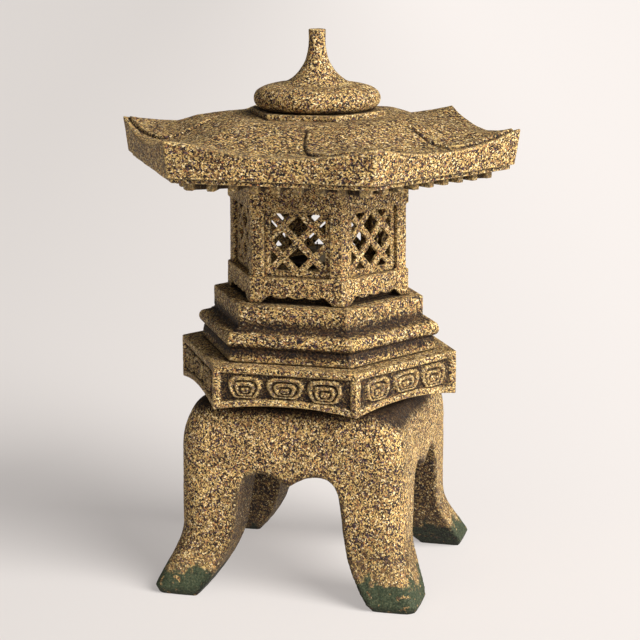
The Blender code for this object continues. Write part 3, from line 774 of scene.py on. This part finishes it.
def lattice_mesh(material):
    """The shared lattice panel in its own frame: front face in the plane y = 0, facing -Y."""
    half_width = BAY_WIDTH / 2 - LATTICE_CLEARANCE
    half_height = (POST_TOP - FLOOR_Z) / 2 - LATTICE_CLEARANCE
    outer = [(half_width, -half_height), (half_width, half_height), (-half_width, half_height),
             (-half_width, -half_height)]
    slab = plain_solid([[(x, y, z) for x, z in outer] for y in (LATTICE_THICKNESS, 0.0)])
    plate = gather("lattice", [slab])
    quarters = ((1, 0), (0, 1), (-1, 0), (0, -1))       # cosine and sine of each quarter turn
    half = HOLE_HALF_DIAGONAL
    holes = []
    for c, s in quarters:
        x, z = BAR_SPACING * c, BAR_SPACING * s
        holes.append([(x + half, z), (x, z + half), (x - half, z), (x, z - half)])
    tip = WINDOW_HALF - (2 * BAR_SPACING - half)
    for c, s in quarters:
        for across in (-BAR_SPACING, BAR_SPACING):
            corners = [(WINDOW_HALF, across - tip), (WINDOW_HALF, across + tip), (WINDOW_HALF - tip, across)]
            holes.append([(x * c - z * s, x * s + z * c) for x, z in corners])
    prisms = [plain_solid([[(x, y, z + WINDOW_RISE) for x, z in hole] for y in (LATTICE_THICKNESS + 3, -3.0)])
              for hole in holes]
    carve(plate, gather("holes", prisms))
    soften(plate, 0.8, 1)
    plate.data.materials.clear()
    plate.data.materials.append(material)
    mesh = plate.data
    bpy.data.objects.remove(plate, do_unlink=True)
    return mesh


def lattice_panels(material):
    shared = lattice_mesh(material)
    names = ["lattice_panel_front"] + [f"lattice_panel_{number}" for number in range(2, 7)]
    front = BAY_BACK + LATTICE_THICKNESS + SEAT_GAP
    middle = (FLOOR_Z + POST_TOP) / 2
    for index, node in enumerate(names):
        turn = math.radians(60 * index)
        panel = add_object(node.replace("panel", "carved"), shared.copy())
        panel.rotation_euler.z = turn
        panel.location = Vector((front * math.sin(turn), -front * math.cos(turn), middle)) * MM
        bpy.context.view_layer.update()
        panel.data.transform(panel.matrix_world)
        panel.matrix_world.identity()
        weather(panel, FINE_SKIN, 41 + index)
        body = "service_panel" if index == 0 else "stonework"
        settle(panel, node, body, material)


# ---- Roof ----
CORNER_TIP_Z, EAVE_MID_Z, FASCIA_BOTTOM_Z, SOFFIT_Z = 565.75, 550.5, 522.25, 516.5
CROWN_Z, CROWN_R, DOME_FOOT_R, VALLEY_R = 575.9, 112.0, 232.0, 175.0
ROOF_BOTTOM_R, ROOF_BED_R, ROOF_SEAT_R, SEAT_R = 245.75, 240.0, 122.0, 85.4
ROOF_PLUG_R, ROOF_PLUG_DEPTH = 89.5, 6.0    # keeps the roof centred in the firebox
# For each face: the side its upper petal covers (1: the side of the next corner), whether the petal fades
# out towards that corner, and the petal's edge from the dome to the corner, as (across, distance from the
# axis) with across positive on the covered side.
PETALS = [
    (-1, False, [(20, 130), (14, 150), (9, 172), (14, 190), (28, 199), (56, 205), (90, 208), (122, 210)]),
    (1, True, [(24, 122), (27, 150), (34, 182), (41, 198), (52, 204), (82, 207), (122, 212)]),
    (1, False, [(22, 128), (17, 150), (12, 172), (16, 190), (28, 199), (56, 205), (90, 208), (122, 210)]),
    (-1, False, [(18, 134), (5, 156), (2, 176), (7, 190), (22, 197), (52, 204), (90, 209), (122, 211)]),
    (1, True, [(20, 118), (22, 127), (26, 150), (33, 176), (42, 192), (55, 201.5), (72, 205), (92, 205.5),
               (108, 204), (126, 200)]),
    (1, False, [(25, 122), (23, 130), (21, 147), (16, 168), (15, 184), (18, 196), (23, 200), (33, 205),
                (56, 207), (90, 206), (120, 208)]),
]
PETAL_STEP = 3.1
SOFT_CORNER_FACE = 4            # the near half of this face's eave stays high for longer
TENON_R, TENON_LENGTH, SOCKET_R = 21.8, 28.0, 22.8   # under the finial, and its hole in the crown


def smooth_curve(points, steps=6):
    """More points through the given ones, on a curve that passes them without a bend."""
    points = np.asarray(points, float)
    padded = np.vstack([2 * points[0] - points[1], points, 2 * points[-1] - points[-2]])
    curve = []
    for a, b, c, d in zip(padded, padded[1:], padded[2:], padded[3:]):
        for s in np.arange(steps) / steps:
            curve.append(0.5 * (2 * b + (c - a) * s + (2 * a - 5 * b + 4 * c - d) * s ** 2
                                + (3 * b - a - 3 * c + d) * s ** 3))
    return np.array(curve + [points[-1]])


PETAL_EDGES = [smooth_curve(points) for _, _, points in PETALS]


def distance_to_curve(places, curve):
    """Distance from each place to the curve, positive on the right of its direction."""
    start, step = curve[:-1], np.diff(curve, axis=0)
    offset = places[:, None, :] - start[None]
    share = np.clip((offset * step).sum(axis=2) / (step ** 2).sum(axis=1), 0, 1)
    away = offset - share[..., None] * step
    length = np.hypot(away[..., 0], away[..., 1])
    nearest = length.argmin(axis=1)
    row = np.arange(len(places))
    turn = step[nearest, 1] * offset[row, nearest, 0] - step[nearest, 0] * offset[row, nearest, 1]
    return length[row, nearest] * np.sign(turn)


def petal_relief(side, radius, t):
    """Raised overlap of the roof's petals, and the painted shade in the groove along its foot."""
    relief, foot = np.zeros(len(t)), np.zeros(len(t))
    for face, (sign, fades, _) in enumerate(PETALS):
        here = side == face
        places = np.column_stack([sign * t[here] * radius[here] / 2, radius[here] * COS30])
        distance = distance_to_curve(places, PETAL_EDGES[face])
        strength = smoothstep((radius[here] - 138.0) / 20.0)
        if fades:
            strength = strength * (1 - smoothstep((sign * t[here] - 0.74) / 0.26))
        step = PETAL_STEP * smoothstep((distance + 1.0) / 2.4) * (1 - 0.5 * smoothstep(distance / 70.0))
        groove = np.exp(-((distance + 1.2) / 1.7) ** 2)
        relief[here] = strength * (step - 0.8 * groove)
        foot[here] = strength * groove
    return relief, foot


def roof_height(side, radius, t):
    dome = EAVE_MID_Z + (CROWN_Z - EAVE_MID_Z) * smoothstep((DOME_FOOT_R - radius) / (DOME_FOOT_R - CROWN_R))
    outward = np.clip((radius - VALLEY_R) / (ROOF_R - VALLEY_R), 0, 1)
    shape = np.where((side == SOFT_CORNER_FACE) & (t < 0), np.sin(math.pi / 2 * t) ** 2, t * t)
    return dome + (CORNER_TIP_Z - EAVE_MID_Z) * outward ** 1.45 * shape


def roof_stone(material):
    columns = 112
    seat = FIREBOX_TOP + SEAT_GAP
    plan, side, t = hexagon_points(1.0, columns)
    count = len(plan)
    rings, shade_and_grime, add = stack_on(plan)
    add(40.0, seat - ROOF_PLUG_DEPTH)
    add(ROOF_PLUG_R - 1, seat - ROOF_PLUG_DEPTH)
    add(ROOF_PLUG_R, seat)
    add(ROOF_SEAT_R - 1, seat)
    add(ROOF_SEAT_R, seat + 1)
    # Painted shade on the soffit under the eaves and on the inner face of the fascia's foot.
    add(ROOF_SEAT_R, SOFFIT_Z, 1.0)
    for radius in np.linspace(ROOF_SEAT_R + 10, ROOF_BED_R - 8, 9):
        add(radius, SOFFIT_Z, 1.0)
    add(ROOF_BED_R - 0.8, SOFFIT_Z, 0.3)
    add(ROOF_BED_R, SOFFIT_Z + 0.8)
    add(ROOF_BED_R, FASCIA_BOTTOM_Z - 0.3, 0.8)
    add(ROOF_BOTTOM_R - 1.2, FASCIA_BOTTOM_Z, 0.3)
    add(ROOF_BOTTOM_R - 0.3, FASCIA_BOTTOM_Z + 0.3)
    add(ROOF_BOTTOM_R, FASCIA_BOTTOM_Z + 1.2)
    rim = roof_height(side, np.full(count, ROOF_R), t)
    low, high = FASCIA_BOTTOM_Z + 1.2, rim - 1.6
    for share in np.linspace(0.08, 1.0, 12):
        add(ROOF_BOTTOM_R + (ROOF_R - ROOF_BOTTOM_R) * share, low + (high - low) * share)
    for radius, drop in ((ROOF_R - 0.4, 0.7), (ROOF_R - 1.4, 0.1)):
        add(radius, rim - drop)
    for radius in np.concatenate([np.arange(ROOF_R - 2.4, 226.0, -1.1), np.arange(226.0, 130.0, -2.0),
                                  np.arange(130.0, SEAT_R + 1.0, -3.2)]):
        full = np.full(count, radius)
        # Painted shade in the petal grooves and where the crown meets the seat; elsewhere a light even grime.
        relief, foot = petal_relief(side, full, t)
        near_seat = 0.8 * smoothstep((SEAT_R + 6.0 - radius) / 5.0)
        add(radius, roof_height(side, full, t) + relief, np.maximum(0.3, np.maximum(foot, near_seat)))
    # Painted shade at the foot of the seat and on its top under the finial.
    add(SEAT_R, CROWN_Z, 0.8)
    for radius, z in ((SEAT_R + 0.2, CROWN_Z + 1.0), (SEAT_R, SEAT_TOP - 0.9), (SEAT_R - 0.4, SEAT_TOP - 0.2),
                      (SEAT_R - 1.4, SEAT_TOP)):
        add(radius, z)
    for radius in (78.0, 70.0, 62.0, 54.0, 32.0):
        add(radius, SEAT_TOP, 0.8 if radius < 75 else 0.2)
    round_plan = plan / np.hypot(plan[:, 0], plan[:, 1])[:, None]
    # Painted shade inside the socket.
    for radius, depth in ((SOCKET_R + 0.8, 0.0), (SOCKET_R, 0.8), (SOCKET_R, 10.0), (SOCKET_R, 20.0),
                          (SOCKET_R, TENON_LENGTH + 1.0)):
        add(radius, SEAT_TOP - depth, 0.8, round_plan)
    stone = mesh_object("roof_carved", *loft(rings, shade_and_grime))
    weather(stone, STONE_SKIN, 53)
    settle(stone, "roof", "roof_stone", material)


def roof_rafters(material):
    """Short square blocks under the soffit that run in to the neck and cross at the hips."""
    width, pitch, reach, bottom, end, bevel = 9.4, 26.0, 4, 505.2, 189.0, 0.9
    half, start = width / 2, ROOF_SEAT_R * COS30 - 2
    solids, shade_and_grime = [], []
    for side in range(6):
        low = bottom + 0.3 * (side % 2)
        for place in range(-reach, reach + 1):
            across = place * pitch
            rings = []
            for apothem, draw_in in ((start, 0.0), (end - 16, 0.0), (end - 3, 0.0), (end - bevel, 0.0),
                                     (end, bevel)):
                w, foot = half - draw_in, low + draw_in
                outline = [(across + w, foot + bevel), (across + w, SOFFIT_Z + 2), (across - w, SOFFIT_Z + 2),
                           (across - w, foot + bevel), (across - w + bevel, foot), (across + w - bevel, foot)]
                rings.append(prism_on_face(outline, apothem, end, side)[0])
            solids.append(plain_solid(rings))
            # Painted shade, darkest at the inner ends deep under the roof and clean at the outer ends.
            shade_and_grime += [shade_and_soil for shade_and_soil in (1.0, 0.9, 0.25, 0.0, 0.0) for _ in outline]
    blocks = gather("roof_rafters", solids, shade_and_grime)
    blocks.data.set_sharp_from_angle(angle=math.radians(30))
    weather(blocks, BLOCK_SKIN, 61)
    blocks.data.materials.append(material)
    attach(blocks, "roof_stone")


# ---- Finial ----
def finial(material):
    bed = SEAT_TOP + SEAT_GAP
    foot, belly, crease = np.array((60.0, bed)), np.array((77.6, 596.5)), np.array((44.0, 613.8))
    throat, tip = np.array((16.2, 638.5)), np.array((10.4, STEM_TOP - 1.6))
    profile = [(TENON_R - 1.2, bed - TENON_LENGTH), (TENON_R, bed - TENON_LENGTH + 1.2), (TENON_R, bed),
               tuple(foot)]
    profile += bezier(foot, np.array((72.0, bed)), belly - (0, 7), belly, 18)
    profile += bezier(belly, belly + (0, 10.0), np.array((66.0, 612.8)), crease, 18)
    profile += bezier(crease, np.array((31.0, 618.0)), np.array((22.5, 627.0)), throat, 20)
    profile += bezier(throat, np.array((12.2, 646.5)), np.array((9.4, 657.0)), tip, 16)
    profile += [(10.2, STEM_TOP - 0.5), (9.2, STEM_TOP), (4.0, STEM_TOP)]
    profile = refine(profile, 2.4)
    # Painted shade in the crease where the finial sits on the roof.
    shade_and_grime = [0.7 * float(smoothstep((bed + 2.5 - z) / 2.5)) for _, z in profile]
    stone = turned("finial_carved", profile, 150, shade_and_grime)
    weather(stone, STONE_SKIN, 71)
    settle(stone, "finial", "finial_stone", material)


# ---- Candle and dish ----
def light_set():
    floor = corner_mm("candle_dish", False).z
    rim_r, _, rim_z = corner_mm("candle_dish")
    plate = rim_z - 3.0
    profile = [(12.0, floor), (rim_r - 7, floor), (rim_r - 5.6, floor + 0.5)]
    profile += bezier(np.array((rim_r - 5.6, floor + 0.5)), np.array((rim_r - 3.0, floor + 1.2)),
                      np.array((rim_r - 1.0, floor + 3.0)), np.array((rim_r, rim_z - 0.7)), 8)
    profile += arc((rim_r - 0.75, rim_z - 0.7), 0.75, 20, 160, 6)
    profile += bezier(np.array((rim_r - 1.5, rim_z - 0.8)), np.array((rim_r - 2.2, plate + 1.2)),
                      np.array((rim_r - 3.6, plate)), np.array((rim_r - 6.0, plate)), 8)
    profile.append((10.0, plate))
    dish = turned("dish_turned", profile, 96)
    settle(dish, "candle_dish", "light", iron())

    low, high = corner_mm("candle", False), corner_mm("candle")
    radius = high.x
    profile = [(6.0, low.z), (radius - 0.8, low.z), (radius, low.z + 0.8), (radius, high.z - 2.0)]
    profile += arc((radius - 1.6, high.z - 1.8), 1.6, 5, 90, 6)
    profile += bezier(np.array((radius - 1.6, high.z - 0.2)), np.array((radius - 4, high.z - 1.2)),
                      np.array((4.0, high.z - 2.2)), np.array((1.3, high.z - 2.0)), 10)
    profile += [(1.3, high.z - 5.5)]
    candle = turned("candle_poured", refine(profile, 1.5), 64)
    weather(candle, WAX_SKIN, 83)
    settle(candle, "candle", "light", wax())

    low, high = corner_mm("wick", False), corner_mm("wick")
    steps = 14
    rings = []
    for s in (k / steps for k in range(steps + 1)):
        lean = 0.9 * max(0.0, s - 0.55) ** 2
        twist = circle(high.x * (0.82 + 0.14 * math.sin(9 * s)), 0.0, 12)
        rings.append(twist + np.array((lean, 0.0, low.z + (high.z - low.z) * s)))
    wick = mesh_object("wick_burnt", *loft(rings))
    settle(wick, "wick", "light", burnt_cotton())


# ---- Floor, light and camera ----
VIEW_AZIMUTH, VIEW_ELEVATION = math.radians(14.67), math.radians(12.27)
VIEW_DISTANCE, VIEW_LENS = 2.716, 122.2
VIEW_AIM = Vector((0.0034, 0.0009, 0.3177))
FLOOR_HALF = 30.0
FLOOR_COLOUR, FLOOR_GLOW = (0.42, 0.405, 0.398, 1.0), (1.0, 0.935, 0.90, 1.0)
LAMP_DISTANCE = 4.0


def polar(azimuth, elevation, distance):
    """A point seen from the aim at that azimuth (0 is in front, positive to the right)."""
    return Vector((math.sin(azimuth) * math.cos(elevation), -math.cos(azimuth) * math.cos(elevation),
                   math.sin(elevation))) * distance


def stage():
    """A pale floor that glows a little, more so towards the key light."""
    mesh = bpy.data.meshes.new("studio_floor")
    corners = [(FLOOR_HALF * x, FLOOR_HALF * y, 0) for x, y in ((-1, -1), (1, -1), (1, 1), (-1, 1))]
    mesh.from_pydata(corners, [], [(0, 1, 2, 3)])
    floor = add_object("studio_floor", mesh)
    g = Graph("pale_floor")
    g.shader.inputs["Base Color"].default_value = FLOOR_COLOUR
    g.shader.inputs["Roughness"].default_value = 0.9
    g.shader.inputs["Specular IOR Level"].default_value = 0.1
    g.shader.inputs["Emission Color"].default_value = FLOOR_GLOW
    place = g.node("ShaderNodeTexCoord").outputs["Object"]
    towards_key = (math.cos(VIEW_AZIMUTH), math.sin(VIEW_AZIMUTH), 0.0)
    lateral = g.node("ShaderNodeVectorMath", {0: place, 1: towards_key}, operation="DOT_PRODUCT")
    glow = g.clamp_range(lateral.outputs["Value"], -1.0, 0.9, 0.26, 0.50)
    g.put(g.shader.inputs["Emission Strength"], glow)
    mesh.materials.append(g.material)


def sun(name, energy, angle, colour, azimuth, elevation):
    """A soft light placed by the direction it comes from, turned towards the lantern."""
    light = bpy.data.lights.new(name, "SUN")
    light.energy = energy
    light.angle = math.radians(angle)
    light.color = colour
    lamp = add_object(name, light)
    lamp.location = VIEW_AIM + polar(math.radians(azimuth), math.radians(elevation), LAMP_DISTANCE)
    lamp.rotation_euler = (VIEW_AIM - lamp.location).to_track_quat("-Z", "Y").to_euler()


def lights():
    world = bpy.data.worlds.new("studio")
    world.use_nodes = True
    background = world.node_tree.nodes["Background"]
    background.inputs["Color"].default_value = (1.0, 0.975, 0.95, 1.0)
    background.inputs["Strength"].default_value = 0.12
    bpy.context.scene.world = world
    sun("key", 5.5, 46, (1.0, 0.975, 0.94), 66, 31)
    sun("fill", 0.5, 120, (1.0, 0.98, 0.96), 22, 30)


def camera():
    lens = bpy.data.cameras.new("view")
    lens.lens = VIEW_LENS
    lens.clip_end = 100.0
    seen = add_object("view", lens)
    seen.location = VIEW_AIM + polar(VIEW_AZIMUTH, VIEW_ELEVATION, VIEW_DISTANCE)
    seen.rotation_euler = (VIEW_AIM - seen.location).to_track_quat("-Z", "Y").to_euler()
    bpy.context.scene.camera = seen


# ---- The scene ----
bpy.context.scene.view_settings.view_transform = "Standard"
camera()
stage()
lights()
plain = granite("granite_speckled")
weathered = granite("granite_weathered", stretch=(0.84, 0.84, 0.92))
mossy = granite("granite_mossy", stretch=(1.1, 1.1, 0.9), moss_top=0.036)
base_stone(mossy)
panel_slab(plain)
stepped_platform(weathered)
firebox_frame(plain)
lattice_panels(plain)
roof_stone(weathered)
roof_rafters(weathered)
finial(plain)
light_set()
